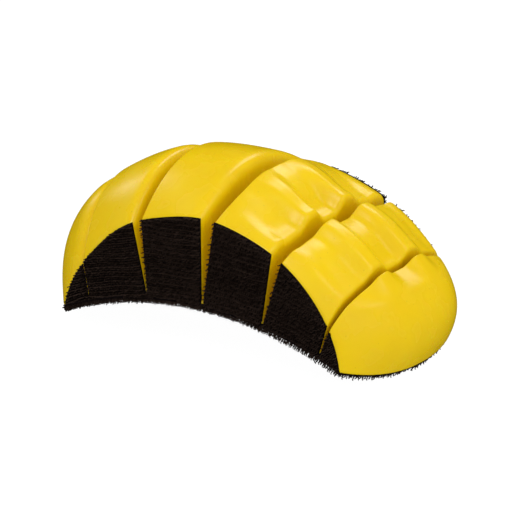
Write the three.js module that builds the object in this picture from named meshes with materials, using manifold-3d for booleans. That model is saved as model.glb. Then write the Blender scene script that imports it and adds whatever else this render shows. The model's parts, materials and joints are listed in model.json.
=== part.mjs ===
// Flexible hand block for grout washing: a soft foam body, slit into six lobes that hinge on the
// sole, faced with black hook fabric on the sole and on both flat flanks.
// Millimetres, +Z up. X is the length, Y the width. The block stands on its two ends.
import * as THREE from "three";
import Module from "manifold-3d";

// ---- overall form -------------------------------------------------------------------------
const WIDTH = 70;                 // across the two flat flanks
const SOLE_RISE = 11.8;           // height of the sole arch over the flank tips, at mid length
const SOLE_RADIUS = 132;          // radius of the sole arch
const SOLE_CENTRE = -0.8;         // x of the arch's highest line
const FACING = 1.2;               // thickness of the hook fabric
const GAP = 0.25;                 // air between pieces that touch on the real block

// Outline stations, all measured as a radius from the middle of the flank's foot line.
// CREST is the lengthwise section through the middle, FLANK the outline of the flat side.
const CREST_AT = [-6, 8, 28, 50, 72, 94, 116, 138, 158, 172, 186];
const CREST = [61.8, 68.6, 62.0, 54.0, 54.2, 55.2, 59.7, 65.5, 71.0, 70.4, 64.2];
const FLANK_AT = [-4, 10, 30, 50, 70, 90, 110, 130, 150, 170, 184];
const FLANK = [53.2, 52.0, 48.6, 45.2, 42.8, 42.3, 42.4, 45.0, 47.7, 52.0, 54.2];
// How square the crosswise section is: 2 is a plain parabola, more is fuller towards the flanks.
const SQUARE_AT = [-6, 30, 60, 88, 114, 142, 186];
const SQUARE = [2.1, 3.0, 2.1, 1.8, 2.0, 2.3, 2.4];

// ---- slits --------------------------------------------------------------------------------
// x is where the slit ends, left and right are the run of each wall per mm of height, and web is
// the foam and fabric left under it.
const SLITS = [
  { x: -44.2, left: -0.222, right: -0.217, web: 3.4 },
  { x: -21.05, left: -0.235, right: -0.102, web: 3.5 },
  { x: 0.87, left: -0.015, right: 0.145, web: 2.3 },
  { x: 24.18, left: 0.148, right: 0.300, web: 2.7 },
  { x: 46.07, left: 0.300, right: 0.372, web: 3.2 },
];
const ROOT_HALF = 0.4;            // half width of a slit at its root
const FOOT_HALF = 1.0;            // half width of the notch under the root, at the sole

// ---- finger grooves -----------------------------------------------------------------------
// Depth of the middle groove at stations round the crest; the two outer ones are a little shallower.
const GROOVE_AT = [20, 27, 31, 40, 50, 57, 66, 80, 92];
const GROOVE = [0, 3.0, 3.8, 3.4, 3.5, 4.8, 3.6, 1.2, 0];
const GROOVE_PITCH = 21.4;
const GROOVE_FLOOR = 2.8;         // half width of the level part of a groove
const GROOVE_LIP = 9.2;           // half width at the top of a groove
const OUTER_SHARE = 0.8;

// ---- mesh fineness ------------------------------------------------------------------------
const CREST_STEPS = 7;
const END_STEPS = 16;
const SOLE_STEPS = 4;
const PLAIN_ROWS = 16;
const GROOVED_ROWS = 28;
const HALF = WIDTH / 2;

const RAD = Math.PI / 180;
const HALVINGS = 50;              // of the bisection that finds an angle
const SETTLES = 20;               // of the repeated guess that finds a slit's foot
const WALL_SEARCH = [12, 168];    // degrees between which a slit wall is met
const RIGHT_END_SEARCH = [14, -6];
const LEFT_END_SEARCH = [166, 186];

// A natural cubic spline through stations; returns a function of the station coordinate.
function spline(at, value) {
  const n = at.length;
  const second = new Array(n).fill(0);
  const work = new Array(n).fill(0);
  for (let i = 1; i < n - 1; i += 1) {
    const share = (at[i] - at[i - 1]) / (at[i + 1] - at[i - 1]);
    const pivot = share * second[i - 1] + 2;
    second[i] = (share - 1) / pivot;
    const rise = (value[i + 1] - value[i]) / (at[i + 1] - at[i]);
    const before = (value[i] - value[i - 1]) / (at[i] - at[i - 1]);
    work[i] = (6 * (rise - before) / (at[i + 1] - at[i - 1]) - share * work[i - 1]) / pivot;
  }
  for (let i = n - 2; i >= 0; i -= 1) {
    second[i] = second[i] * second[i + 1] + work[i];
  }
  return (x) => {
    let k = 0;
    while (k < n - 2 && x > at[k + 1]) k += 1;
    const h = at[k + 1] - at[k];
    const a = (at[k + 1] - x) / h;
    const b = (x - at[k]) / h;
    const bend = ((a ** 3 - a) * second[k] + (b ** 3 - b) * second[k + 1]) * h * h / 6;
    return a * value[k] + b * value[k + 1] + bend;
  };
}

const crestRadius = spline(CREST_AT, CREST);
const flankRadius = spline(FLANK_AT, FLANK);
const squareness = spline(SQUARE_AT, SQUARE);
const grooveDepth = spline(GROOVE_AT, GROOVE);

// Degrees of the flank outline per degree of the crest outline.
const FLANK_SHARE = (FLANK_AT.at(-1) - FLANK_AT[0]) / (CREST_AT.at(-1) - CREST_AT[0]);

function smooth(from, to, x) {
  const t = Math.min(1, Math.max(0, (x - from) / (to - from)));
  return t * t * (3 - 2 * t);
}

// Depth of the finger grooves at an angle round the crest and a place across the width.
function groove(angle, y) {
  if (angle <= GROOVE_AT[0] || angle >= GROOVE_AT.at(-1)) return 0;
  const number = Math.max(-1, Math.min(1, Math.round(y / GROOVE_PITCH)));
  const away = Math.abs(y - GROOVE_PITCH * number);
  const share = number === 0 ? 1 : OUTER_SHARE;
  return share * grooveDepth(angle) * (1 - smooth(GROOVE_FLOOR, GROOVE_LIP, away));
}

// A point of the hand surface: angle round the block (0 at the +X end), y across it.
function handPoint(angle, y) {
  const share = 1 - Math.abs(y / HALF) ** squareness(angle);
  const flankAngle = FLANK_AT[0] + (angle - CREST_AT[0]) * FLANK_SHARE;
  const rc = crestRadius(angle) - groove(angle, y);
  const rf = flankRadius(flankAngle);
  const cx = rc * Math.cos(angle * RAD);
  const cz = rc * Math.sin(angle * RAD);
  const fx = rf * Math.cos(flankAngle * RAD);
  const fz = rf * Math.sin(flankAngle * RAD);
  return [fx + (cx - fx) * share, fz + (cz - fz) * share];
}

// Height of the sole arch, or of a surface a given distance inside it.
function soleHeight(x, inside) {
  const r = SOLE_RADIUS + inside;
  return SOLE_RISE - SOLE_RADIUS + Math.sqrt(r * r - (x - SOLE_CENTRE) ** 2);
}

function rootHeight(slit) {
  return soleHeight(slit.x, slit.web);
}

// X of a slit wall at height z. Side -1 is the wall on the left, +1 the one on the right.
function wallX(slit, side, z) {
  const above = z - rootHeight(slit);
  const run = side < 0 ? slit.left : slit.right;
  if (above >= 0) return slit.x + side * ROOT_HALF + run * above;
  const lean = slit.x / SOLE_RADIUS;
  return slit.x + side * (ROOT_HALF - (FOOT_HALF - ROOT_HALF) * above / slit.web) + lean * above;
}

// The angle at which the hand surface at y meets a test that changes sign there.
function meet(test, low, high) {
  let a = low;
  let b = high;
  const positive = test(a) > 0;
  for (let i = 0; i < HALVINGS; i += 1) {
    const mid = (a + b) / 2;
    if (test(mid) > 0 === positive) a = mid;
    else b = mid;
  }
  return (a + b) / 2;
}

function angleAtWall(slit, side, y) {
  return meet((angle) => {
    const [x, z] = handPoint(angle, y);
    return x - wallX(slit, side, z);
  }, ...WALL_SEARCH);
}

function angleAtSole(end, inside, y) {
  const test = (angle) => {
    const [x, z] = handPoint(angle, y);
    return z - soleHeight(x, inside);
  };
  return meet(test, ...(end > 0 ? RIGHT_END_SEARCH : LEFT_END_SEARCH));
}

// X at which a slit wall meets the sole arch, or a surface inside it.
function footX(slit, side, inside) {
  let x = slit.x;
  for (let i = 0; i < SETTLES; i += 1) x = wallX(slit, side, soleHeight(x, inside));
  return x;
}

// The lengthwise section of lobe number i (0 to 5) at y, as a closed ring of [x, z].
function lobeRing(i, y, inside) {
  const ring = [];
  const leftSlit = i > 0 ? SLITS[i - 1] : null;
  const rightSlit = i < 5 ? SLITS[i] : null;
  const high = leftSlit ? angleAtWall(leftSlit, 1, y) : angleAtSole(-1, inside, y);
  const low = rightSlit ? angleAtWall(rightSlit, -1, y) : angleAtSole(1, inside, y);
  const steps = leftSlit && rightSlit ? CREST_STEPS : END_STEPS;
  for (let k = 0; k <= steps; k += 1) ring.push(handPoint(high + (low - high) * k / steps, y));
  const start = rightSlit ? footX(rightSlit, -1, inside) : handPoint(low, y)[0];
  const stop = leftSlit ? footX(leftSlit, 1, inside) : handPoint(high, y)[0];
  if (rightSlit) ring.push([wallX(rightSlit, -1, rootHeight(rightSlit)), rootHeight(rightSlit)]);
  for (let k = rightSlit ? 0 : 1; k <= SOLE_STEPS - (leftSlit ? 0 : 1); k += 1) {
    const x = start + (stop - start) * k / SOLE_STEPS;
    ring.push([x, soleHeight(x, inside)]);
  }
  if (leftSlit) ring.push([wallX(leftSlit, 1, rootHeight(leftSlit)), rootHeight(leftSlit)]);
  return ring;
}

// The section of the web that joins two lobes under a slit, kept a gap clear of both.
function webRing(slit, inside) {
  const ring = [];
  const top = rootHeight(slit);
  ring.push([slit.x - ROOT_HALF + GAP, top]);
  ring.push([slit.x + ROOT_HALF - GAP, top]);
  ring.push([footX(slit, 1, inside) - GAP, soleHeight(footX(slit, 1, inside) - GAP, inside)]);
  ring.push([footX(slit, -1, inside) + GAP, soleHeight(footX(slit, -1, inside) + GAP, inside)]);
  return ring;
}

// Joins one ring per y station into a closed body with flat ends.
function loft(rings, stations) {
  const position = [];
  const index = [];
  const n = rings[0].length;
  rings.forEach((ring, s) => {
    ring.forEach(([x, z]) => position.push(x, stations[s], z));
  });
  for (let s = 0; s < rings.length - 1; s += 1) {
    for (let k = 0; k < n; k += 1) {
      const a = s * n + k;
      const b = s * n + (k + 1) % n;
      index.push(a, b, a + n);
      index.push(b, b + n, a + n);
    }
  }
  [0, rings.length - 1].forEach((s) => {
    const flat = rings[s].map(([x, z]) => new THREE.Vector2(x, z));
    const ringTurn = THREE.ShapeUtils.area(flat) > 0;
    THREE.ShapeUtils.triangulateShape(flat, []).forEach(([a, b, c]) => {
      const faceTurn = THREE.ShapeUtils.area([flat[a], flat[b], flat[c]]) > 0;
      const keep = (faceTurn === ringTurn) !== (s === 0);
      if (keep) index.push(s * n + a, s * n + b, s * n + c);
      else index.push(s * n + a, s * n + c, s * n + b);
    });
  });
  const geometry = new THREE.BufferGeometry();
  geometry.setAttribute("position", new THREE.BufferAttribute(new Float32Array(position), 3));
  geometry.setIndex(index);
  return facingOut(geometry);
}

// Turns every triangle over if the body encloses a negative volume.
function facingOut(geometry) {
  const p = geometry.getAttribute("position");
  const index = Array.from(geometry.getIndex().array);
  const a = new THREE.Vector3();
  const b = new THREE.Vector3();
  const c = new THREE.Vector3();
  let volume = 0;
  for (let t = 0; t < index.length; t += 3) {
    a.fromBufferAttribute(p, index[t]);
    b.fromBufferAttribute(p, index[t + 1]);
    c.fromBufferAttribute(p, index[t + 2]);
    volume += a.dot(b.cross(c));
  }
  if (volume < 0) {
    for (let t = 0; t < index.length; t += 3) {
      const swap = index[t + 1];
      index[t + 1] = index[t + 2];
      index[t + 2] = swap;
    }
    geometry.setIndex(index);
  }
  return geometry;
}

const wasm = await Module();
wasm.setup();

function toSolid(geometry) {
  return new wasm.Manifold(new wasm.Mesh({
    numProp: 3,
    vertProperties: geometry.getAttribute("position").array,
    triVerts: new Uint32Array(geometry.getIndex().array),
  }));
}

function toGeometry(solid) {
  const mesh = solid.getMesh();
  const geometry = new THREE.BufferGeometry();
  const position = new Float32Array(mesh.vertProperties);
  geometry.setAttribute("position", new THREE.BufferAttribute(position, 3));
  geometry.setIndex(new THREE.BufferAttribute(new Uint32Array(mesh.triVerts), 1));
  return geometry;
}

// Even stations from -reach to +reach.
function spread(reach, rows) {
  return Array.from({ length: rows + 1 }, (_, k) => -reach + 2 * reach * k / rows);
}

const CORE_REACH = 90;            // larger than the block, in X and in Z
const CORE_TOP = 120;
const CORE_STEPS = 36;

// Everything inside the fabric: subtracted from a full slice it leaves the fabric alone.
function insideOfFabric() {
  const ring = [];
  for (let k = 0; k <= CORE_STEPS; k += 1) {
    const x = -CORE_REACH + 2 * CORE_REACH * k / CORE_STEPS;
    ring.push([x, soleHeight(x, FACING)]);
  }
  ring.push([CORE_REACH, CORE_TOP]);
  ring.push([-CORE_REACH, CORE_TOP]);
  const reach = HALF - FACING;
  return toSolid(loft([ring, ring], [-reach, reach]));
}

const foamReach = HALF - FACING - GAP;
const foamInside = FACING + GAP;

function lobeFoam(i) {
  const stations = spread(foamReach, i < 3 ? PLAIN_ROWS : GROOVED_ROWS);
  return loft(stations.map((y) => lobeRing(i, y, foamInside)), stations);
}

function lobeFacing(i, core) {
  const inner = HALF - FACING;
  const middle = i === 0 || i === 5 ? spread(inner, 12) : [-inner, inner];
  const stations = [-HALF, ...middle, HALF];
  const slice = toSolid(loft(stations.map((y) => lobeRing(i, y, 0)), stations));
  return toGeometry(slice.subtract(core));
}

function hingeFoam(slit) {
  const ring = webRing(slit, foamInside);
  return loft([ring, ring], [-foamReach, foamReach]);
}

function hingeFacing(slit, core) {
  const ring = webRing(slit, 0);
  return toGeometry(toSolid(loft([ring, ring], [-HALF, HALF])).subtract(core));
}

const foamSkin = new THREE.MeshStandardMaterial({ color: 0xeccb10, roughness: 0.38, metalness: 0 });
const hookCloth = new THREE.MeshStandardMaterial({ color: 0x1a1414, roughness: 0.95, metalness: 0 });

const group = new THREE.Group();

function add(name, geometry, material) {
  geometry.computeVertexNormals();
  const mesh = new THREE.Mesh(geometry, material);
  mesh.name = name;
  group.add(mesh);
}

const core = insideOfFabric();
for (let i = 0; i < 6; i += 1) {
  add(`lobe_${i + 1}_foam`, lobeFoam(i), foamSkin);
  add(`lobe_${i + 1}_facing`, lobeFacing(i, core), hookCloth);
}
SLITS.forEach((slit, i) => {
  add(`hinge_${i + 1}_foam`, hingeFoam(slit), foamSkin);
  add(`hinge_${i + 1}_facing`, hingeFacing(slit, core), hookCloth);
});

// Stand the block with its middle over the origin and its lowest line on z = 0.
const box = new THREE.Box3().setFromObject(group);
group.children.forEach((mesh) => {
  mesh.geometry.translate(-(box.min.x + box.max.x) / 2, 0, -box.min.z);
});

export default group;
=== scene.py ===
# %% [markdown]
# # A bendable grout block
# A tiler washes off and rubs down grout with a soft block that carries hook-backed pads. This
# one is a single moulding of yellow foam with a smooth skin. Its arched sole and flat flanks are
# covered in black hook fabric, and five cross slits let it bend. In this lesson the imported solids
# stay as the frame that moves, and every visible surface is built again over them, finely enough
# to be looked at closely. The first cell loads that frame and keeps its size, to compare with at
# the end.

# %% Load the frame
import json
import math

import bpy
import numpy as np
from mathutils import Matrix, Vector

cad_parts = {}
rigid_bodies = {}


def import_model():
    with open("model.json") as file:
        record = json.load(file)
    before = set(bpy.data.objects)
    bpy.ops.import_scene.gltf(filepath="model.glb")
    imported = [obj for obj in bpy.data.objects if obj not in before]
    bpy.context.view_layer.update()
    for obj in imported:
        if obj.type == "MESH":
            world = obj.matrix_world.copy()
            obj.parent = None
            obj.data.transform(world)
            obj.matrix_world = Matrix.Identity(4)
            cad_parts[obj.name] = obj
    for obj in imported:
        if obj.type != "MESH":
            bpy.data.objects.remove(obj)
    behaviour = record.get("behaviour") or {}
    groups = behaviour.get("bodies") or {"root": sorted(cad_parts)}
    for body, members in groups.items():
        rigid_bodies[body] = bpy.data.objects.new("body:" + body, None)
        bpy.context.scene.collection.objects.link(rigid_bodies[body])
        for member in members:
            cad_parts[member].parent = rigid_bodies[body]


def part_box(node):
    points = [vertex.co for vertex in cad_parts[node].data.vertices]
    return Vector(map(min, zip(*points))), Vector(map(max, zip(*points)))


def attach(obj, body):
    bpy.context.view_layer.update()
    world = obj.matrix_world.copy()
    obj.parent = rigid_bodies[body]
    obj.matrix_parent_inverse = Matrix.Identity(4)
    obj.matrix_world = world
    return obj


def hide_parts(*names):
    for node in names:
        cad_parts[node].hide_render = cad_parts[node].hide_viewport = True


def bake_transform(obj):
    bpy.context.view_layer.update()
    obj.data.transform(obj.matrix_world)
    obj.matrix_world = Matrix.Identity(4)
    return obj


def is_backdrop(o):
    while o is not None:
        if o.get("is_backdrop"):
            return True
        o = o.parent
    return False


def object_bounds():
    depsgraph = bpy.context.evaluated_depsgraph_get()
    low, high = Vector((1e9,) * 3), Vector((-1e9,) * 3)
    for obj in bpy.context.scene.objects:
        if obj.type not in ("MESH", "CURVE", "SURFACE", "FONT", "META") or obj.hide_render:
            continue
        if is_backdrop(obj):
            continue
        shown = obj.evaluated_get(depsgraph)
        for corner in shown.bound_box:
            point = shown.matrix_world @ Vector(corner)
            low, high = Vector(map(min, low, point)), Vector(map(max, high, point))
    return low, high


MM = 0.001

for leftover in list(bpy.data.objects):
    bpy.data.objects.remove(leftover, do_unlink=True)

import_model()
frame_low, frame_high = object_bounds()
frame_box = [list(frame_low), list(frame_high)]
print("frame box in mm:", [[round(v / MM, 1) for v in corner] for corner in frame_box])

# %% [markdown]
# ## The driving dimensions
# The block's form comes from two lengthwise outlines, a crest through the middle and a flank at
# each side, and from a sole that is part of a cylinder. They could be traced as curves by hand,
# but a few stations joined by a smooth spline are easier to adjust. Each station is a radius,
# measured at an angle from the middle of the flank's foot line. The solids have the same
# dimensions, apart from the crest and the grooves, which are refined here by up to about two
# millimetres, and the two end slits, which are a little narrower.

# %% Dimensions of the block, in millimetres and degrees
HALF_WIDTH = 35.0
SOLE_RISE, SOLE_RADIUS, SOLE_CENTRE = 11.8, 132.0, -0.8
FOOT_HALF = 1.0

CREST_AT = [-6, 8, 28, 50, 60, 72, 94, 116, 138, 158, 172, 186]
CREST = [61.8, 68.6, 62.0, 55.2, 52.0, 53.4, 54.9, 59.3, 65.2, 71.0, 70.4, 64.2]
FLANK_AT = [-4, 10, 30, 50, 70, 90, 110, 130, 150, 170, 184]
FLANK = [53.2, 52.0, 48.6, 45.2, 42.8, 42.3, 42.4, 45.0, 47.7, 52.0, 54.2]
SQUARE_AT = [-6, 30, 60, 88, 114, 142, 186]
SQUARE = [2.1, 3.0, 2.1, 1.8, 2.0, 2.3, 2.4]

# Each slit: x of its root, how far its left and right walls run per millimetre of height, the
# thickness of the web left under it, and half its width at the root.
SLITS = [
    (-44.2, -0.222, -0.217, 3.4, 0.3),
    (-21.05, -0.235, -0.102, 3.5, 0.4),
    (0.87, -0.015, 0.145, 2.3, 0.4),
    (24.18, 0.148, 0.300, 2.7, 0.4),
    (46.07, 0.300, 0.373, 3.2, 0.34),
]
print(len(SLITS), "slits cut the block into", len(SLITS) + 1, "lobes")

# %% [markdown]
# ## A smooth curve through the stations
# A natural cubic spline is the shape that a thin wooden strip takes when it is held at a few
# points. Blender's curve objects could draw it, but the surfaces below need a value at thousands
# of angles at once, so a small function that works on whole arrays is the better tool.


# %% The spline
def spline(at, value):
    """Returns a function that runs smoothly through the stations."""
    at = np.array(at, float)
    value = np.array(value, float)
    gap = np.diff(at)
    slope = np.diff(value) / gap
    count = len(at)
    grid = np.eye(count)
    right = np.zeros(count)
    for i in range(1, count - 1):
        grid[i, i - 1 : i + 2] = gap[i - 1], 2 * (gap[i - 1] + gap[i]), gap[i]
        right[i] = 6 * (slope[i] - slope[i - 1])
    bend = np.linalg.solve(grid, right)

    def curve(x):
        x = np.asarray(x, float)
        k = np.clip(np.searchsorted(at, x) - 1, 0, count - 2)
        a = (at[k + 1] - x) / gap[k]
        b = (x - at[k]) / gap[k]
        sag = ((a**3 - a) * bend[k] + (b**3 - b) * bend[k + 1]) * gap[k] ** 2 / 6
        return a * value[k] + b * value[k + 1] + sag

    return curve


crest_radius = spline(CREST_AT, CREST)
flank_radius = spline(FLANK_AT, FLANK)
squareness = spline(SQUARE_AT, SQUARE)
print("crest height at mid length, mm:", round(float(crest_radius(90)), 1))

# %% [markdown]
# ## The hand surface with its finger grooves
# The upper surface is what the palm and fingers hold. It is found crosswise: at each angle it
# rises from the flank outline to the crest along a flattened arch. Three grooves for the fingers
# run lengthwise. They could be cut afterwards with a boolean, but a groove that is part of the
# formula has no seam, fades in and out gently, and costs nothing.

# %% The hand surface
GROOVE_AT = [20, 27, 31, 40, 50, 57, 66, 75, 84, 92]
GROOVE = [0, 3.0, 3.8, 3.4, 4.3, 5.0, 3.7, 2.1, 0.4, 0]
GROOVE_PITCH, GROOVE_FLOOR, GROOVE_LIP = 21.4, 2.8, 9.2
OUTER_SHARE = 0.8
FLANK_TURN = (FLANK_AT[-1] - FLANK_AT[0]) / (CREST_AT[-1] - CREST_AT[0])
groove_depth = spline(GROOVE_AT, GROOVE)


def smooth(start, end, x):
    """0 before start, 1 after end, and an easy S between."""
    t = np.clip((np.asarray(x, float) - start) / (end - start), 0, 1)
    return t * t * (3 - 2 * t)


def groove(angle, y):
    """Depth of the finger grooves."""
    number = np.clip(np.round(np.asarray(y, float) / GROOVE_PITCH), -1, 1)
    across = 1 - smooth(GROOVE_FLOOR, GROOVE_LIP, np.abs(y - GROOVE_PITCH * number))
    share = np.where(number == 0, 1, OUTER_SHARE)
    along = np.maximum(groove_depth(np.clip(angle, GROOVE_AT[0], GROOVE_AT[-1])), 0)
    return share * along * across


def hand_point(angle, y):
    """[x, z] of the hand surface at an angle round the block and a place across it."""
    angle, y = np.broadcast_arrays(np.asarray(angle, float), np.asarray(y, float))
    share = 1 - np.abs(y / HALF_WIDTH) ** squareness(angle)
    low_angle = FLANK_AT[0] + (angle - CREST_AT[0]) * FLANK_TURN
    top = crest_radius(angle) - groove(angle, y)
    side = flank_radius(low_angle)
    crest = np.stack([top * np.cos(np.radians(angle)), top * np.sin(np.radians(angle))], -1)
    turned = np.radians(low_angle)
    flank = np.stack([side * np.cos(turned), side * np.sin(turned)], -1)
    return flank + (crest - flank) * share[..., None]


print("groove depth on the middle lobes, mm:", round(float(groove(55.0, 0.0)), 2))

# %% [markdown]
# ## Sole and slit walls
# The sole is an arc, and each slit has two straight walls that meet the web a few millimetres
# above it. Separate curve objects could hold them, but everything else is cut by these two, so
# they are plain functions of x and z.


# %% The sole and the walls
SLIT_COUNT = len(SLITS)
HALVINGS, SETTLES = 40, 12
TOP_SEARCH = (12.0, 168.0)
RIGHT_END_SEARCH, LEFT_END_SEARCH = (14.0, -6.0), (166.0, 186.0)


def sole_height(x, inside=0.0):
    """Height of the arched sole, or of a surface a given distance inside it."""
    radius = SOLE_RADIUS + inside
    return SOLE_RISE - SOLE_RADIUS + np.sqrt(radius**2 - (np.asarray(x) - SOLE_CENTRE) ** 2)


def root_height(slit):
    """Height of a slit's root."""
    return float(sole_height(slit[0], slit[3]))


def wall_x(slit, side, z):
    """X of a slit's left (-1) or right (+1) wall at height z."""
    x, left, right, web, half = slit
    above = np.asarray(z, float) - root_height(slit)
    run = left if side < 0 else right
    over = x + side * half + run * above
    under = x + side * (half - (FOOT_HALF - half) * above / web)
    return np.where(above >= 0, over, under + x / SOLE_RADIUS * above)


def foot_x(slit, side, inside):
    """X where a slit wall meets the sole."""
    x = slit[0]
    for _ in range(SETTLES):
        x = float(wall_x(slit, side, sole_height(x, inside)))
    return x


def slits_beside(number):
    """The slits at the -X and +X ends of a lobe, or None at an end of the block."""
    left = SLITS[number - 1] if number > 0 else None
    right = SLITS[number] if number < SLIT_COUNT else None
    return left, right


def meet(test, low, high):
    """Where a test changes sign between two angles, for a whole array at once."""
    low = np.array(low, float)
    high = np.array(high, float)
    positive = test(low) > 0
    for _ in range(HALVINGS):
        middle = (low + high) / 2
        same = (test(middle) > 0) == positive
        low = np.where(same, middle, low)
        high = np.where(same, high, middle)
    return (low + high) / 2


def angle_at_wall(slit, side, y):
    """Angle at which the hand surface meets a slit wall."""

    def off_wall(angle):
        point = hand_point(angle, y)
        return point[..., 0] - wall_x(slit, side, point[..., 1])

    return meet(off_wall, *(np.full(np.shape(y), limit) for limit in TOP_SEARCH))


def angle_at_sole(end, inside, y):
    """Angle at which the hand surface meets the sole, at the +X (1) or -X (-1) end."""

    def off_sole(angle):
        point = hand_point(angle, y)
        return point[..., 1] - sole_height(point[..., 0], inside)

    search = RIGHT_END_SEARCH if end > 0 else LEFT_END_SEARCH
    return meet(off_sole, *(np.full(np.shape(y), limit) for limit in search))


def angle_span(number, inside, y):
    """Angles of the hand surface at the -X and +X ends of a lobe, numbered from 0."""
    left, right = slits_beside(number)
    high = angle_at_wall(left, 1, y) if left else angle_at_sole(-1, inside, y)
    low = angle_at_wall(right, -1, y) if right else angle_at_sole(1, inside, y)
    return high, low


print("slit roots, mm above the foot line:", [round(root_height(slit), 1) for slit in SLITS])

# %% [markdown]
# ## Placing it in the frame
# The outlines are measured from the flank's foot line, while the frame stands on its lowest line.
# The shift between the two could be typed in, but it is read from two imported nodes, so that the
# new surfaces can't drift from the frame: the middle web's top is the slit's root, and the next
# lobe starts at the slit's wall.

# %% Shift into the frame
web_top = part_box("hinge_3_foam")[1].z
lobe_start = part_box("lobe_4_foam")[0].x
SHIFT_Z = web_top / MM - root_height(SLITS[2])
SHIFT_X = lobe_start / MM - float(wall_x(SLITS[2], 1, root_height(SLITS[2])))
print("shift in mm:", round(SHIFT_X, 3), round(SHIFT_Z, 3))


def placed(x, y, z):
    """Block millimetres to frame metres, as an array of points."""
    x, y, z = np.broadcast_arrays(x, y, z)
    return np.stack([x + SHIFT_X, y, z + SHIFT_Z], -1) * MM


# %% [markdown]
# ## Camera
# The block is seen from its right front corner, from a little above, through a long lens that
# keeps the far end almost as large as the near one. The camera is made before the pieces, so that
# it is ready whatever else changes.

# %% The camera
VIEW_AZIMUTH, VIEW_ELEVATION, VIEW_ROLL = 33.47, 19.69, 0.29
VIEW_DISTANCE = 1.5
FRAME_WIDTH = 0.1684
AIM = Vector((-0.00073, 0.00084, 0.02435))

azimuth = math.radians(VIEW_AZIMUTH)
elevation = math.radians(VIEW_ELEVATION)
back = Vector(
    (
        math.sin(azimuth) * math.cos(elevation),
        -math.cos(azimuth) * math.cos(elevation),
        math.sin(elevation),
    )
)
camera_data = bpy.data.cameras.new("camera")
camera_data.sensor_width = 36.0
camera_data.lens = 36.0 * VIEW_DISTANCE / FRAME_WIDTH
camera_data.clip_start, camera_data.clip_end = 0.05, 50.0
camera = bpy.data.objects.new("camera", camera_data)
bpy.context.scene.collection.objects.link(camera)
turn = (-back).to_track_quat("-Z", "Y").to_matrix().to_4x4()
roll = Matrix.Rotation(math.radians(VIEW_ROLL), 4, "Z")
camera.matrix_world = Matrix.Translation(AIM + back * VIEW_DISTANCE) @ turn @ roll
bpy.context.scene.camera = camera
print("lens in mm:", round(camera_data.lens))

# %% [markdown]
# ## Building a mesh from sections
# Every solid piece here is a stack of closed sections, one at each place across the width, joined
# by quads and closed by a flat face at each end. That is how a boat's hull is lofted. It keeps the
# mesh free of the slivers that booleans leave, so light runs smoothly over it.


# %% Mesh helpers
def new_piece(name, vertices, faces, material=None):
    """A smooth-shaded mesh object from points in metres."""
    mesh = bpy.data.meshes.new(name)
    mesh.from_pydata([tuple(v) for v in vertices], [], faces)
    mesh.validate()
    mesh.polygons.foreach_set("use_smooth", [True] * len(mesh.polygons))
    mesh.update()
    piece = bpy.data.objects.new(name, mesh)
    bpy.context.scene.collection.objects.link(piece)
    if material is not None:
        mesh.materials.append(material)
    return piece


def ring_turn(ring):
    """Twice the signed area of a ring of [x, z] points."""
    following = np.roll(ring, -1, axis=0)
    return np.sum(ring[:, 0] * following[:, 1] - following[:, 0] * ring[:, 1])


def loft(rings, stations):
    """Points and faces of a closed body through rings of [x, z], one ring at each y."""
    count = len(rings[0])
    if ring_turn(rings[0]) < 0:
        rings = [ring[::-1] for ring in rings]
    points = np.concatenate(
        [placed(ring[:, 0], y, ring[:, 1]) for ring, y in zip(rings, stations)]
    )
    faces = []
    for s in range(len(rings) - 1):
        for k in range(count):
            a, b = s * count + k, s * count + (k + 1) % count
            faces.append((a, b, b + count, a + count))
    faces.append(tuple(range(count))[::-1])
    last = (len(rings) - 1) * count
    faces.append(tuple(range(last, last + count)))
    return points, faces


def drawn_in(ring, amount):
    """A ring moved inwards by an amount, as a rounded edge needs."""
    along = np.roll(ring, -1, axis=0) - np.roll(ring, 1, axis=0)
    along /= np.linalg.norm(along, axis=1, keepdims=True) + 1e-12
    outward = np.stack([along[:, 1], -along[:, 0]], 1)
    if ring_turn(ring) < 0:
        outward = -outward
    return ring - outward * amount


unit_square = np.array([[0, 0], [1, 0], [1, 1], [0, 1]])
print("twice the area of a unit square:", ring_turn(unit_square))

# %% [markdown]
# ## The foam lobes
# Each lobe is a slice of the block between two slits. Where the fingers press, the moulding has
# soft lips, and the other edges are crisp. A bevel modifier could round them all alike, but here
# the radius differs from edge to edge, so each lip is drawn into the section as a short curve.

# %% Lobe sections
BROAD_LIP, SOFT_LIP, FIRM_LIP, SLIGHT_LIP, CRISP_LIP = 8.5, 4.6, 2.4, 1.2, 0.7
LEFT_LIPS = [SLIGHT_LIP, CRISP_LIP, CRISP_LIP, CRISP_LIP, CRISP_LIP, CRISP_LIP]
RIGHT_LIPS = [BROAD_LIP, SOFT_LIP, SOFT_LIP, FIRM_LIP, SLIGHT_LIP, SLIGHT_LIP]
FOAM_INSIDE = 1.0
LIP_POINTS, TOP_POINTS, END_POINTS, WALL_POINTS, SOLE_POINTS = 7, 30, 60, 10, 12
FINE_POINTS = 200


def cut_back(line, length):
    """The part of a polyline from a given length on, and the point where it starts."""
    step = np.linalg.norm(np.diff(line, axis=0), axis=1)
    run = np.concatenate([[0], np.cumsum(step)])
    start = np.array([np.interp(length, run, line[:, 0]), np.interp(length, run, line[:, 1])])
    return np.vstack([start, line[run > length]]), start


def respaced(line, count):
    """A polyline with its points evenly spaced."""
    step = np.linalg.norm(np.diff(line, axis=0), axis=1)
    run = np.concatenate([[0], np.cumsum(step)])
    at = np.linspace(0, run[-1], count)
    return np.stack([np.interp(at, run, line[:, 0]), np.interp(at, run, line[:, 1])], 1)


def lip_curve(start, corner, end):
    """A rounded corner: leaves start towards the corner and arrives at end from it."""
    t = np.linspace(0, 1, LIP_POINTS + 2)[1:-1, None]
    return (1 - t) ** 2 * start + 2 * t * (1 - t) * corner + t**2 * end


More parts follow.
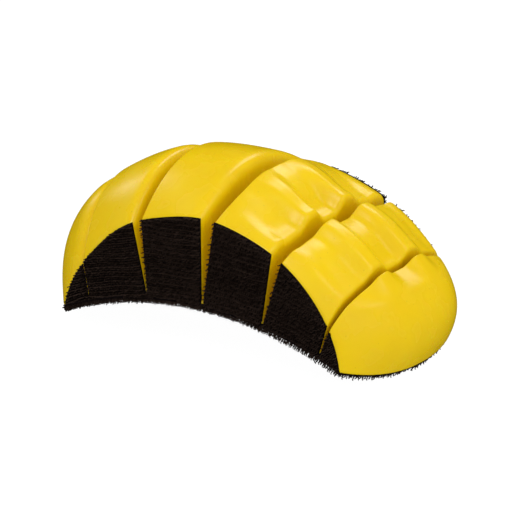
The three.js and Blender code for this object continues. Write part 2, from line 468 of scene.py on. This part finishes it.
def wall_line(slit, side, top, inside):
    """Points down a slit wall from its top to the sole."""
    foot = float(sole_height(foot_x(slit, side, inside), inside))
    heights = np.append(np.linspace(top, root_height(slit), WALL_POINTS), foot)
    return np.stack([wall_x(slit, side, heights), heights], 1)


def lobe_ring(number, y, high, low):
    """The closed section of a lobe at y, between two angles of the hand surface."""
    left, right = slits_beside(number)
    top = hand_point(np.linspace(high, low, FINE_POINTS), y)
    corner_left, corner_right = top[0].copy(), top[-1].copy()
    top, start_left = cut_back(top, LEFT_LIPS[number])
    top, start_right = cut_back(top[::-1], RIGHT_LIPS[number])
    top = respaced(top[::-1], TOP_POINTS if left and right else END_POINTS)
    if right:
        down = wall_line(right, -1, corner_right[1], FOAM_INSIDE)
        down, end_right = cut_back(down, RIGHT_LIPS[number])
    else:
        down = np.empty((0, 2))
    if left:
        up = wall_line(left, 1, corner_left[1], FOAM_INSIDE)
        up, end_left = cut_back(up, LEFT_LIPS[number])
        up = up[::-1]
    else:
        up = np.empty((0, 2))
    right_foot = down[-1, 0] if right else corner_right[0]
    left_foot = up[0, 0] if left else corner_left[0]
    x = np.linspace(right_foot, left_foot, SOLE_POINTS)
    sole = np.stack([x, sole_height(x, FOAM_INSIDE)], 1)
    if right:
        sole = sole[1:]
    else:
        sole, end_right = cut_back(sole, RIGHT_LIPS[number])
    if left:
        sole = sole[:-1]
    else:
        sole, end_left = cut_back(sole[::-1], LEFT_LIPS[number])
        sole = sole[::-1]
    down = respaced(down, WALL_POINTS) if right else down
    up = respaced(up, WALL_POINTS) if left else up
    sole = respaced(sole, SOLE_POINTS)
    lip_right = lip_curve(start_right, corner_right, end_right)
    lip_left = lip_curve(end_left, corner_left, start_left)
    return np.vstack([top, lip_right, down, sole, up, lip_left])


mid_high, mid_low = angle_span(2, FOAM_INSIDE, np.zeros(1))
print("points round a middle lobe:", len(lobe_ring(2, 0.0, mid_high[0], mid_low[0])))

# %% [markdown]
# The moulding's flank edges are rounded too. A bevel would need an edge loop to work on, while
# here the last few sections are simply drawn in as they approach the flank. The rounding stops
# just inside the fabric, which lies over the flank.

# %% The six lobes
FLAT_REACH, EDGE_ROUND, EDGE_STEPS, ROWS = 33.5, 0.8, 5, 72
DRAW_SHARE = 0.8


def rounded_stations():
    """Places across the width, each with how far its section is drawn in."""
    inner = [(y, 0.0) for y in np.linspace(-FLAT_REACH, FLAT_REACH, ROWS + 1)]
    turns = [math.radians(90 * k / EDGE_STEPS) for k in range(1, EDGE_STEPS + 1)]
    outer = [
        (FLAT_REACH + EDGE_ROUND * math.sin(t), EDGE_ROUND * DRAW_SHARE * (1 - math.cos(t)))
        for t in turns
    ]
    return [(-y, inset) for y, inset in outer[::-1]] + inner + outer


def make_lobe(number):
    """One foam lobe, numbered from 0 at the -X end."""
    stations = rounded_stations()
    y = np.array([s[0] for s in stations])
    high, low = angle_span(number, FOAM_INSIDE, y)
    rings = []
    for (place, inset), a, b in zip(stations, high, low):
        rings.append(drawn_in(lobe_ring(number, place, a, b), inset))
    points, faces = loft(rings, y)
    return new_piece(f"foam_lobe_{number + 1}", points, faces)


LOBE_COUNT = SLIT_COUNT + 1
lobes = [make_lobe(number) for number in range(LOBE_COUNT)]
print("foam faces:", sum(len(lobe.data.polygons) for lobe in lobes))
for number, lobe in enumerate(lobes, start=1):
    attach(lobe, f"lobe_{number}")
    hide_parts(f"lobe_{number}_foam")

# %% [markdown]
# ## The webs
# Under each slit a few millimetres of foam are left, and they are what bends. Each web is its own
# piece. Its top is a small rounded trough, and its sides reach into the lobes.

# %% The five webs
WEB_REACH, WEB_STATIONS = 1.3, 41
WEB_HALF_WIDTH = 34.1
WEB_SINK = 0.05
TROUGH_EASE, TROUGH_RISE, TROUGH_DEPTH, TROUGH_POINTS = 0.12, 0.75, 0.6, 9
SHOULDER, SHOULDER_RISE, SHOULDER_DROP = 0.9, 0.3, 0.5


def web_ring(slit):
    """The section of a web: a trough above, the sole below."""
    x, root = slit[0], root_height(slit)
    turn_at = np.linspace(math.pi, 2 * math.pi, TROUGH_POINTS)
    mouth = slit[4] + TROUGH_EASE
    depth = root + TROUGH_RISE + TROUGH_DEPTH * np.sin(turn_at)
    trough = np.stack([x + mouth * np.cos(turn_at), depth], 1)
    shoulder = SHOULDER + slit[4]
    high, low = root + SHOULDER_RISE, root - SHOULDER_DROP
    right = np.array([[x + shoulder, high], [x + FOOT_HALF + WEB_REACH, low]])
    left = np.array([[x - FOOT_HALF - WEB_REACH, low], [x - shoulder, high]])
    across = np.linspace(x + FOOT_HALF + WEB_REACH, x - FOOT_HALF - WEB_REACH, TROUGH_POINTS)
    under = np.stack([across, sole_height(across, FOAM_INSIDE + WEB_SINK)], 1)
    return np.vstack([trough, right, under, left])


def make_web(number):
    """The foam left under one slit."""
    slit = SLITS[number]
    stations = np.linspace(-WEB_HALF_WIDTH, WEB_HALF_WIDTH, WEB_STATIONS)
    points, faces = loft([web_ring(slit)] * len(stations), stations)
    return new_piece(f"foam_web_{number + 1}", points, faces)


webs = [make_web(number) for number in range(SLIT_COUNT)]


def bend_at_slit(piece, number):
    """Bakes the piece's placement into its mesh; the piece does not follow the lobes beside the
    slit.
    """
    slit = SLITS[number]
    height = float(sole_height(slit[0], slit[3] / 2))
    start = placed(slit[0] - FOOT_HALF, 0.0, height)
    end = placed(slit[0] + FOOT_HALF, 0.0, height)
    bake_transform(piece)


for number, web in enumerate(webs):
    bend_at_slit(web, number)
    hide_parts(f"hinge_{number + 1}_foam")
print("webs:", [web.name for web in webs])

# %% [markdown]
# ## The hook fabric's backing
# The fabric is one sheet, bonded to the sole and folded up both flanks, with a V cut out at each
# slit. Under the hooks is a thin woven backing. Cloth simulation suits a sheet that hangs or sags,
# but this one is glued down, so for each lobe it is a grid that goes down one flank, round a small
# fold, across the sole and up the other flank. The grid then gets a thickness.

# %% The backing of one lobe
CLOTH_FACE = 0.55
CLOTH_THICK = 0.5
FOLD = 0.9
CLOTH_Y = HALF_WIDTH - CLOTH_FACE
RIM_INSIDE, RIM_RISE, RIM_POINTS = 0.6, 0.45, 120
END_GAP, TIP_GAP = 0.25, 0.3
FOLD_SHARE, LEAST_HEIGHT = 0.35, 0.05
FOLD_STEPS, SOLE_ROWS = 4, 35


def sole_span(number, y):
    """X of a lobe's sole at its -X and +X ends, at a place across the width."""
    left, right = slits_beside(number)
    if left:
        start = foot_x(left, 1, CLOTH_FACE)
    else:
        start = hand_point(angle_at_sole(-1, CLOTH_FACE, np.array([y])), y)[0, 0] + END_GAP
    if right:
        stop = foot_x(right, -1, CLOTH_FACE)
    else:
        stop = hand_point(angle_at_sole(1, CLOTH_FACE, np.array([y])), y)[0, 0] - END_GAP
    return start, stop


def flank_face(foot, rim, walls, rows):
    """[row, column, xz] of a flank from over the fold up to the rim, and the fold's radius."""
    height = np.maximum(rim[:, 1] - foot[:, 1], LEAST_HEIGHT)
    fold = np.minimum(FOLD, FOLD_SHARE * height)
    climb = np.linspace(0, 1, rows)[:, None]
    share = (fold / height)[None] * (1 - climb) + climb
    grid = foot[None] + (rim - foot)[None] * share[..., None]
    across = np.linspace(0, 1, len(foot))[None]
    for end, wall, weight in ((0, walls[0], 1 - across), (-1, walls[1], across)):
        if wall:
            lean = wall_x(*wall, grid[:, end, 1]) - grid[:, end, 0]
            grid[..., 0] += lean[:, None] * weight
    return grid, fold


def wrapped(flank, fold, spans, rows, sink=0.0):
    """Grid of points down one flank, round the fold, across the sole and up the far flank."""
    reach = CLOTH_Y - sink
    columns = flank.shape[1]
    near = [np.stack([row[:, 0], np.full(columns, -reach), row[:, 1]], 1) for row in flank[::-1]]
    foot_z = flank[0, :, 1] - fold + sink
    for k in range(1, FOLD_STEPS):
        a = math.radians(90 * k / FOLD_STEPS)
        y = -reach + fold * (1 - math.cos(a))
        near.append(np.stack([flank[0, :, 0], y, foot_z + fold * (1 - math.sin(a))], 1))
    middle = []
    for y in np.linspace(-reach + FOLD, reach - FOLD, rows):
        start, stop = spans(float(y))
        x = np.linspace(start, stop, columns)
        middle.append(np.stack([x, np.full(columns, y), sole_height(x, CLOTH_FACE + sink)], 1))
    far = [row * np.array([1, -1, 1]) for row in near[::-1]]
    return np.array(near + middle + far)


def lobe_flank(number, columns=25, rows=15):
    """The flank face of a lobe and the fold under it."""
    y = HALF_WIDTH - TIP_GAP
    high, low = angle_span(number, RIM_INSIDE, np.array([y]))
    rim = respaced(hand_point(np.linspace(high[0], low[0], RIM_POINTS), y), columns)
    rim += rim / np.linalg.norm(rim, axis=1, keepdims=True) * RIM_RISE
    x = np.linspace(*sole_span(number, y), columns)
    foot = np.stack([x, sole_height(x, CLOTH_FACE)], 1)
    left, right = slits_beside(number)
    walls = ((left, 1) if left else None, (right, -1) if right else None)
    return flank_face(foot, rim, walls, rows)


def lobe_backing(number):
    """The whole backing of a lobe as a grid of points."""
    flank, fold = lobe_flank(number)
    return wrapped(flank, fold, lambda y: sole_span(number, y), SOLE_ROWS)


print("backing grid of one lobe:", lobe_backing(2).shape)

# %% [markdown]
# A solidify modifier could thicken the grid, but its rim would lean with the surface. Here the
# back is the same grid moved along its own normals, and a band of quads joins the two all round.


# %% Thickening a grid
def outward(grid):
    """Unit normals of a backing grid, away from the foam."""
    down, along = np.gradient(grid, axis=0), np.gradient(grid, axis=1)
    normal = np.cross(down, along)
    return normal / (np.linalg.norm(normal, axis=2, keepdims=True) + 1e-12)


def thick_grid(grid, thickness):
    """Points and quads of a closed shell, whose outer face is the grid."""
    rows, columns = grid.shape[:2]
    back_face = grid - outward(grid) * thickness
    points = np.concatenate([grid.reshape(-1, 3), back_face.reshape(-1, 3)])
    index = np.arange(rows * columns).reshape(rows, columns)
    a, b, c, d = index[:-1, :-1], index[:-1, 1:], index[1:, 1:], index[1:, :-1]
    outer = np.stack([a, d, c, b], -1).reshape(-1, 4)
    inner = outer[:, ::-1] + rows * columns
    loop = np.concatenate([index[0, :-1], index[:-1, -1], index[-1, :0:-1], index[:0:-1, 0]])
    following = np.roll(loop, -1)
    shift = rows * columns
    band = np.stack([loop, following, following + shift, loop + shift], -1)
    return points, np.concatenate([outer, inner, band])


shell_points, shell_quads = thick_grid(lobe_backing(2), CLOTH_THICK)
print("closed backing of one lobe:", len(shell_points), "points,", len(shell_quads), "quads")

# %% [markdown]
# ## The hooks
# Each hook is a stiff plastic thread, about 1.3 mm high, that rises from the backing and curls
# over. Rows of them run along the block, and each row faces against the next, so the cloth grips
# both ways. A particle system could scatter them, but real hooks stand in woven rows. So their
# places are worked out row by row, with a little disorder from a seeded generator.

# %% Places of the hooks
ROW_PITCH, HOOK_PITCH = 0.80, 0.72
EDGE_MARGIN = 0.12
ROW_WAVE, WAVE_ALONG, WAVE_UP = 0.18, 0.33, 0.21
ROWS_BETWEEN, HOOKS_BETWEEN = (-6, 60), (-40, 40)
FOLD_PLACE = 0.26
chance = np.random.default_rng(7)


def inside_outline(point, outline):
    """Which points lie inside a closed outline, by counting crossings."""
    inside = np.zeros(len(point), bool)
    for (x1, z1), (x2, z2) in zip(outline, np.roll(outline, -1, axis=0)):
        crosses = (z1 > point[:, 1]) != (z2 > point[:, 1])
        reach = (x2 - x1) * (point[:, 1] - z1) / (z2 - z1 + 1e-12) + x1
        inside ^= crosses & (point[:, 0] < reach)
    return inside


def flank_hooks(flank):
    """Places on a flank face, in rows along its foot, and each one's row number."""
    foot, rim = flank[0], flank[-1]
    outline = np.concatenate([foot, flank[1:, -1], rim[-2::-1], flank[-2:0:-1, 0]])
    outline = drawn_in(outline, EDGE_MARGIN)
    along = foot[-1] - foot[0]
    along /= np.linalg.norm(along)
    up = np.array([-along[1], along[0]])
    middle = (foot[0] + foot[-1]) / 2
    v = np.arange(*ROWS_BETWEEN, ROW_PITCH)
    u = np.arange(*HOOKS_BETWEEN, HOOK_PITCH)
    row, column = np.meshgrid(np.arange(len(v)), np.arange(len(u)), indexing="ij")
    row, column = row.ravel(), column.ravel()
    across = u[column] + HOOK_PITCH / 2 * (row % 2)
    wave = ROW_WAVE * np.sin(across * WAVE_ALONG + v[row] * WAVE_UP)
    place = middle + along * across[:, None] + up * (v[row] + wave)[:, None]
    keep = inside_outline(place, outline)
    heading = np.repeat(along[None], keep.sum(), 0)
    return place[keep], row[keep], heading


def sole_hooks(spans, reach):
    """Places on the sole and on its two folds: point, normal, heading and row number."""
    points, normals, headings, rows = [], [], [], []
    lines = [(y, 0.0) for y in np.arange(-reach + FOLD, reach - FOLD + 0.1, ROW_PITCH)]
    lines = [(-reach + FOLD_PLACE, -1.0)] + lines + [(reach - FOLD_PLACE, 1.0)]
    for row, (y, turned) in enumerate(lines):
        start, stop = spans(float(y))
        x = np.arange(start + EDGE_MARGIN, stop - EDGE_MARGIN, HOOK_PITCH)
        if len(x) == 0:
            continue
        x = x + HOOK_PITCH / 2 * (row % 2) * (x + HOOK_PITCH / 2 < stop - EDGE_MARGIN)
        z = sole_height(x, CLOTH_FACE) + FOLD_PLACE * abs(turned)
        slope = -(x - SOLE_CENTRE) / SOLE_RADIUS
        down = np.stack([slope, np.zeros_like(x), -np.ones_like(x)], 1)
        normal = down + np.array([0, turned, 0])
        heading = np.stack([np.ones_like(x), np.zeros_like(x), slope], 1)
        points.append(np.stack([x, np.full(len(x), y), z], 1))
        normals.append(normal / np.linalg.norm(normal, axis=1, keepdims=True))
        headings.append(heading / np.linalg.norm(heading, axis=1, keepdims=True))
        rows.append(np.full(len(x), row))
    return [np.concatenate(part) for part in (points, normals, headings, rows)]


def all_hooks(flank, spans):
    """Every hook of one piece of fabric: point, normal, heading and row number."""
    place, row, heading = flank_hooks(flank)
    parts = [sole_hooks(spans, CLOTH_Y)]
    for side in (-1, 1):
        point = np.stack([place[:, 0], np.full(len(place), side * CLOTH_Y), place[:, 1]], 1)
        normal = np.tile([0.0, side, 0.0], (len(place), 1))
        leaning = np.stack([heading[:, 0], np.zeros(len(place)), heading[:, 1]], 1)
        parts.append([point, normal, leaning, row])
    return [np.concatenate(group) for group in zip(*parts)]


print("hook rows on a middle flank:", len(np.unique(flank_hooks(lobe_flank(2)[0])[1])))

# %% [markdown]
# One hook is a three-sided tube along five points, thick at its foot and thin at its tip. All
# hooks of a piece are made at once: every tube is the same small table of points, turned into each
# hook's own directions.

# %% The shape of a hook
HOOK_RISE = np.array([-0.1, 0.60, 1.10, 1.33, 1.20])
HOOK_LEAN = np.array([0.0, -0.02, 0.04, 0.22, 0.38])
HOOK_THICK = np.array([0.27, 0.24, 0.20, 0.16, 0.10])
HOOK_SIDES = 3
SWING, STRAY, SIZE_SPREAD = 0.16, 0.07, 0.12
HOOK_TONE, ROW_TONE, MOST_ROWS = 0.6, 0.28, 200
DUSTY_SHARE = 0.012


def hook_mesh(point, normal, heading, row):
    """Points, quads and a random shade for each point of a set of hooks."""
    count = len(point)
    heading = heading * np.where(row % 2 == 0, 1, -1)[:, None]
    side = np.cross(normal, heading)
    heading = heading + side * chance.normal(0, SWING, (count, 1))
    normal = normal + heading * chance.normal(0, STRAY, (count, 1))
    normal = normal + side * chance.normal(0, STRAY, (count, 1))
    point = point + heading * chance.normal(0, STRAY, (count, 1))
    size = chance.normal(1, SIZE_SPREAD, (count, 1))
    run = np.gradient(np.stack([HOOK_RISE, HOOK_LEAN], 1), axis=0)
    run /= np.linalg.norm(run, axis=1, keepdims=True)
    rings = []
    for k in range(len(HOOK_RISE)):
        centre = point + normal * HOOK_RISE[k] * size + heading * HOOK_LEAN[k] * size
        across = heading * run[k, 0] - normal * run[k, 1]
        for j in range(HOOK_SIDES):
            turned = 2 * math.pi * j / HOOK_SIDES
            spoke = across * math.cos(turned) + side * math.sin(turned)
            rings.append(centre + HOOK_THICK[k] * spoke)
    points = np.stack(rings, 1).reshape(-1, 3)
    per_hook = len(rings)
    quads = []
    for k in range(len(HOOK_RISE) - 1):
        for j in range(HOOK_SIDES):
            a, b = k * HOOK_SIDES + j, k * HOOK_SIDES + (j + 1) % HOOK_SIDES
            quads.append((a, b, b + HOOK_SIDES, a + HOOK_SIDES))
    tip = per_hook - HOOK_SIDES
    quads.append((tip, tip + 1, tip + 2, tip + 2))
    first = np.arange(count)[:, None, None] * per_hook
    faces = (np.array(quads)[None] + first).reshape(-1, 4)
    shade = HOOK_TONE * chance.random(count) + ROW_TONE * chance.random(MOST_ROWS)[row]
    tone = np.repeat(shade[:, None], per_hook, 1)
    dusty = chance.random(count) < DUSTY_SHARE
    tone[dusty, -HOOK_SIDES:] = 1.0
    return points, faces, tone.ravel()


print("a hook stands", HOOK_RISE.max(), "mm high and is", 2 * HOOK_THICK[1], "mm thick at its foot")

# %% [markdown]
# ## Fabric on each lobe
# Hooks are woven into their backing, so the two never move apart. They could be two objects, but
# one piece for each lobe carries both, and each face has its own material slot. The piece moves
# with its lobe.


# %% The fabric pieces
def fabric_piece(name, grid, hooks):
    """One mesh with the backing and its hooks."""
    base_points, base_faces = thick_grid(grid, CLOTH_THICK)
    pile_points, pile_faces, shade = hook_mesh(*hooks)
    points = np.concatenate([base_points, pile_points])
    quads = [tuple(face) for face in base_faces.tolist()]
    for a, b, c, d in (pile_faces + len(base_points)).tolist():
        quads.append((a, b, c) if c == d else (a, b, c, d))
    piece = new_piece(name, placed(*points.T), quads)
    tone = piece.data.attributes.new("hook_shade", "FLOAT", "POINT")
    tone.data.foreach_set("value", np.concatenate([np.zeros(len(base_points)), shade]))
    on_hook = np.arange(len(quads)) >= len(base_faces)
    return piece, on_hook


fabric = []
for number in range(LOBE_COUNT):
    flank, _ = lobe_flank(number)
    hooks = all_hooks(flank, lambda y, n=number: sole_span(n, y))
    piece, on_hook = fabric_piece(f"hook_fabric_{number + 1}", lobe_backing(number), hooks)
    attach(piece, f"lobe_{number + 1}")
    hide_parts(f"lobe_{number + 1}_facing")
    fabric.append((piece, on_hook))
    print(piece.name, "hooks:", len(hooks[0]), "faces:", len(piece.data.polygons))

# %% [markdown]
# ## Fabric over the webs
# Between two lobes the sheet goes on without a break, under the web and a little way up the
# flanks. These narrow strips lie a hair below the lobes' fabric.

# %% The fabric strips
STRIP_SINK, STRIP_OVERLAP, STRIP_DROP, STRIP_MARGIN = 0.04, 0.12, 0.1, 0.1
STRIP_COLUMNS, STRIP_ROWS = 6, 4


def strip_span(slit):
    """X of the strip's two edges on the sole."""
    left = foot_x(slit, -1, CLOTH_FACE) - STRIP_OVERLAP
    right = foot_x(slit, 1, CLOTH_FACE) + STRIP_OVERLAP
    return left, right


def make_strip(number):
    """The fabric that crosses under one slit."""
    slit = SLITS[number]
    left, right = strip_span(slit)
    x = np.linspace(left, right, STRIP_COLUMNS)
    foot = np.stack([x, sole_height(x, CLOTH_FACE)], 1)
    top = root_height(slit) - STRIP_DROP
    reach = slit[4] + STRIP_OVERLAP
    rim_x = np.linspace(slit[0] - reach, slit[0] + reach, STRIP_COLUMNS)
    rim = np.stack([rim_x, np.full(STRIP_COLUMNS, top)], 1)
    flank, fold = flank_face(foot, rim, (None, None), STRIP_ROWS)
    grid = wrapped(flank, fold, lambda y: (left, right), SOLE_ROWS, STRIP_SINK)
    hooks = all_hooks(flank, lambda y: (left + STRIP_MARGIN, right))
    return fabric_piece(f"hook_strip_{number + 1}", grid, hooks)


for number in range(SLIT_COUNT):
    piece, on_hook = make_strip(number)
    bend_at_slit(piece, number)
    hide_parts(f"hinge_{number + 1}_facing")
    fabric.append((piece, on_hook))
    print(piece.name, "faces:", len(piece.data.polygons))

# %% [markdown]
# ## Materials
# Blender's shader editor shows a material as boxes and wires. In a script the same boxes take many
# lines, so small helpers add a node and set its values, and each material reads as a list.


# %% Node helpers
def new_material(name):
    """A material with an empty principled shader, its nodes and its links."""
    material = bpy.data.materials.new(name)
    material.use_nodes = True
    nodes = material.node_tree.nodes
    return material, nodes, material.node_tree.links, nodes["Principled BSDF"]


def add_node(nodes, kind, **values):
    """Adds a shader node; plain names set properties, and a dict named inputs sets sockets."""
    node = nodes.new(kind)
    for socket, value in values.pop("inputs", {}).items():
        node.inputs[socket].default_value = value
    for key, value in values.items():
        setattr(node, key, value)
    return node


def noise(nodes, scale, detail, roughness=0.5):
    """A noise texture."""
    values = {"Scale": scale, "Detail": detail, "Roughness": roughness}
    return add_node(nodes, "ShaderNodeTexNoise", inputs=values)


def bands(nodes, direction, scale):
    """Wavy bands across one direction, like the threads of a weave."""
    values = {"Scale": scale, "Distortion": 1.5, "Detail": 2.0}
    return add_node(nodes, "ShaderNodeTexWave", bands_direction=direction, inputs=values)


def ramp(nodes, stops):
    """A colour ramp from (position, colour) pairs."""
    node = nodes.new("ShaderNodeValToRGB")
    elements = node.color_ramp.elements
    while len(elements) < len(stops):
        elements.new(0.5)
    for element, (position, colour) in zip(elements, stops):
        element.position = position
        element.color = (*colour, 1.0)
    return node


# %% [markdown]
# ### Yellow foam skin
# Where foam sets against a polished mould it forms a closed skin: smooth, slightly glossy, with
# faint waves and a few pinholes, and its colour drifts very slightly from place to place. A flat
# yellow would look like painted metal, and an image of real foam would repeat and blur close up.
# So textures at four scales make the drift, the waves, the orange peel and the pores. The pores
# are also darkened a little, as painted shade in the pits.

# %% Foam skin
foam, nodes, links, skin = new_material("yellow_foam_skin")
coord = add_node(nodes, "ShaderNodeTexCoord")
drift = noise(nodes, 45.0, 4.0, 0.55)
peel = noise(nodes, 1100.0, 3.0, 0.5)
wave = noise(nodes, 130.0, 2.0, 0.4)
pores = add_node(nodes, "ShaderNodeTexVoronoi", inputs={"Scale": 330.0, "Randomness": 1.0})
for texture in (drift, peel, wave, pores):
    links.new(coord.outputs["Object"], texture.inputs["Vector"])

DEEP_YELLOW, FOAM_YELLOW, PALE_YELLOW = (
    (0.76, 0.505, 0.0008),
    (0.79, 0.535, 0.0012),
    (0.82, 0.565, 0.0020),
)
tint = ramp(nodes, [(0.3, DEEP_YELLOW), (0.5, FOAM_YELLOW), (0.72, PALE_YELLOW)])
links.new(drift.outputs["Fac"], tint.inputs["Fac"])
# Painted shade: the pinholes darken the base colour by up to a quarter. The same ramp also gives
# the pits their relief.
pinhole_and_shade = ramp(nodes, [(0.035, (0.0, 0.0, 0.0)), (0.075, (1.0, 1.0, 1.0))])
links.new(pores.outputs["Distance"], pinhole_and_shade.inputs["Fac"])
shaded = add_node(
    nodes, "ShaderNodeMix", data_type="RGBA", blend_type="MULTIPLY", inputs={"Factor": 0.25}
)
links.new(tint.outputs["Color"], shaded.inputs["A"])
links.new(pinhole_and_shade.outputs["Color"], shaded.inputs["B"])
links.new(shaded.outputs["Result"], skin.inputs["Base Color"])

gloss = add_node(
    nodes,
    "ShaderNodeMapRange",
    inputs={"From Min": 0.3, "From Max": 0.7, "To Min": 0.22, "To Max": 0.31},
)
links.new(wave.outputs["Fac"], gloss.inputs["Value"])
links.new(gloss.outputs["Result"], skin.inputs["Roughness"])

relief_wave = add_node(nodes, "ShaderNodeBump", inputs={"Strength": 0.12, "Distance": 0.0004})
relief_peel = add_node(nodes, "ShaderNodeBump", inputs={"Strength": 0.10, "Distance": 0.0001})
relief_pore = add_node(nodes, "ShaderNodeBump", inputs={"Strength": 0.35, "Distance": 0.0001})
links.new(wave.outputs["Fac"], relief_wave.inputs["Height"])
links.new(peel.outputs["Fac"], relief_peel.inputs["Height"])
links.new(pinhole_and_shade.outputs["Color"], relief_pore.inputs["Height"])
links.new(relief_wave.outputs["Normal"], relief_peel.inputs["Normal"])
links.new(relief_peel.outputs["Normal"], relief_pore.inputs["Normal"])
links.new(relief_pore.outputs["Normal"], skin.inputs["Normal"])
skin.inputs["Specular IOR Level"].default_value = 0.4
skin.inputs["Subsurface Weight"].default_value = 0.20
skin.inputs["Subsurface Radius"].default_value = (1.0, 0.55, 0.08)
skin.inputs["Subsurface Scale"].default_value = 0.003

for piece in lobes + webs:
    piece.data.materials.append(foam)
print("foam skin nodes:", len(nodes))

# %% [markdown]
# ### Black fabric
# The backing is a tight matt weave, and the hooks are a dark brown-black plastic thread. Black
# cloth goes flat and lifeless when it is one colour. Here each hook has its own shade and each row
# its own depth of tone, stored on the mesh, which is how the woven rows show. A rare hook has
# caught pale dust at its tip.

# %% Backing and hooks
weave, nodes, links, cloth = new_material("black_woven_backing")
coord = add_node(nodes, "ShaderNodeTexCoord")
warp = bands(nodes, "X", 550.0)
weft = bands(nodes, "Z", 420.0)
lint = noise(nodes, 700.0, 4.0, 0.6)
for texture in (warp, weft, lint):
    links.new(coord.outputs["Object"], texture.inputs["Vector"])
crossing = add_node(nodes, "ShaderNodeMath", operation="MULTIPLY")
links.new(warp.outputs["Fac"], crossing.inputs[0])
links.new(weft.outputs["Fac"], crossing.inputs[1])
thread = ramp(nodes, [(0.3, (0.0035, 0.0025, 0.0025)), (0.7, (0.010, 0.007, 0.007))])
links.new(lint.outputs["Fac"], thread.inputs["Fac"])
links.new(thread.outputs["Color"], cloth.inputs["Base Color"])
relief = add_node(nodes, "ShaderNodeBump", inputs={"Strength": 0.7, "Distance": 0.0002})
links.new(crossing.outputs["Value"], relief.inputs["Height"])
links.new(relief.outputs["Normal"], cloth.inputs["Normal"])
cloth.inputs["Roughness"].default_value = 0.9
cloth.inputs["Specular IOR Level"].default_value = 0.0

plastic, nodes, links, thread_shader = new_material("black_hook_thread")
caught = add_node(nodes, "ShaderNodeAttribute", attribute_name="hook_shade")
tone = ramp(
    nodes,
    [
        (0.0, (0.0100, 0.0058, 0.0040)),
        (0.88, (0.0420, 0.0270, 0.0205)),
        (0.97, (0.20, 0.17, 0.13)),
    ],
)
links.new(caught.outputs["Fac"], tone.inputs["Fac"])
links.new(tone.outputs["Color"], thread_shader.inputs["Base Color"])
coord = add_node(nodes, "ShaderNodeTexCoord")
scuff = noise(nodes, 2500.0, 2.0)
links.new(coord.outputs["Object"], scuff.inputs["Vector"])
dull = add_node(nodes, "ShaderNodeMapRange", inputs={"To Min": 0.42, "To Max": 0.68})
links.new(scuff.outputs["Fac"], dull.inputs["Value"])
links.new(dull.outputs["Result"], thread_shader.inputs["Roughness"])
thread_shader.inputs["Specular IOR Level"].default_value = 0.03

for piece, on_hook in fabric:
    piece.data.materials.append(weave)
    piece.data.materials.append(plastic)
    piece.data.polygons.foreach_set("material_index", on_hook.astype(np.int32))
print("materials:", [material.name for material in (foam, weave, plastic)])

# %% [markdown]
# ## Studio
# A white floor, lit from below as on a product table, and a pale sky give the even light. Sky and
# large fill lamps do the lighting without showing in the gloss, so the yellow stays deep. Four
# smaller soft boxes are what the skin reflects: they draw the streaks along the finger grooves.

# %% Floor, sky and lamps
FLOOR_Z, FLOOR_HALF = -0.0012, 3.0
turns = ((-1, -1), (1, -1), (1, 1), (-1, 1))
corners = [(x * FLOOR_HALF, y * FLOOR_HALF, FLOOR_Z) for x, y in turns]
floor = new_piece("floor", corners, [(0, 1, 2, 3)])
paper, nodes, links, sheet = new_material("white_paper_floor")
fibre = noise(nodes, 900.0, 3.0)
paper_relief = add_node(nodes, "ShaderNodeBump", inputs={"Strength": 0.05, "Distance": 0.0002})
links.new(fibre.outputs["Fac"], paper_relief.inputs["Height"])
links.new(paper_relief.outputs["Normal"], sheet.inputs["Normal"])
sheet.inputs["Base Color"].default_value = (0.1, 0.1, 0.1, 1)
sheet.inputs["Roughness"].default_value = 0.95
sheet.inputs["Specular IOR Level"].default_value = 0.0
sheet.inputs["Emission Color"].default_value = (1, 1, 1, 1)
sheet.inputs["Emission Strength"].default_value = 0.98
floor.data.materials.append(paper)
floor.visible_diffuse = False
floor.visible_glossy = False
floor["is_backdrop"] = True

world = bpy.data.worlds.new("studio")
bpy.context.scene.world = world
world.use_nodes = True
sky = world.node_tree.nodes["Background"]
sky.inputs["Color"].default_value = (1, 1, 1, 1)
sky.inputs["Strength"].default_value = 0.81
world.cycles_visibility.glossy = False
bpy.context.scene.view_settings.view_transform = "Standard"


def soft_box(name, bearing, height, distance, width, length, power, in_gloss=True):
    """A rectangular lamp that faces the block from a compass bearing and a height, in degrees."""
    lamp = bpy.data.lights.new(name, "AREA")
    lamp.shape = "RECTANGLE"
    lamp.size, lamp.size_y = width, length
    lamp.energy = power
    holder = bpy.data.objects.new(name, lamp)
    bpy.context.scene.collection.objects.link(holder)
    a, e = math.radians(bearing), math.radians(height)
    away = Vector((math.sin(a) * math.cos(e), -math.cos(a) * math.cos(e), math.sin(e)))
    face = away.to_track_quat("Z", "Y").to_matrix().to_4x4()
    holder.matrix_world = Matrix.Translation(Vector((0, 0, 0.03)) + away * distance) @ face
    holder.visible_glossy = in_gloss
    return holder


# Each box: bearing, height, distance, width, length and power.
soft_box("fill_front", 35, 38, 1.3, 1.0, 1.0, 2.4, in_gloss=False)
soft_box("fill_top", -30, 78, 1.2, 1.0, 1.0, 0.8, in_gloss=False)
soft_box("fill_right", 75, 14, 1.3, 1.0, 0.6, 1.8, in_gloss=False)
soft_box("back_box", 184, 50, 1.2, 0.30, 0.70, 2.3)
soft_box("top_box", 14, 68, 1.2, 0.30, 0.25, 1.4)
soft_box("right_box", 100, 50, 1.2, 0.35, 0.50, 0.9)
soft_box("left_box", -108, 30, 1.2, 0.20, 0.60, 0.8)
print("lamps:", [lamp.name for lamp in bpy.data.lights])

# %% [markdown]
# ## Size and finish
# The hooks may stand out a little from the frame, and nothing else should. The last cell measures
# the finished block against the frame.

# %% Finish
new_low, new_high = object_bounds()
sizes = {"cad": frame_box, "visual": [list(new_low), list(new_high)]}
for corner, before, after in zip(("low", "high"), frame_box, sizes["visual"]):
    print(corner, "corner moved, mm:", [round((b - a) / MM, 2) for a, b in zip(before, after)])
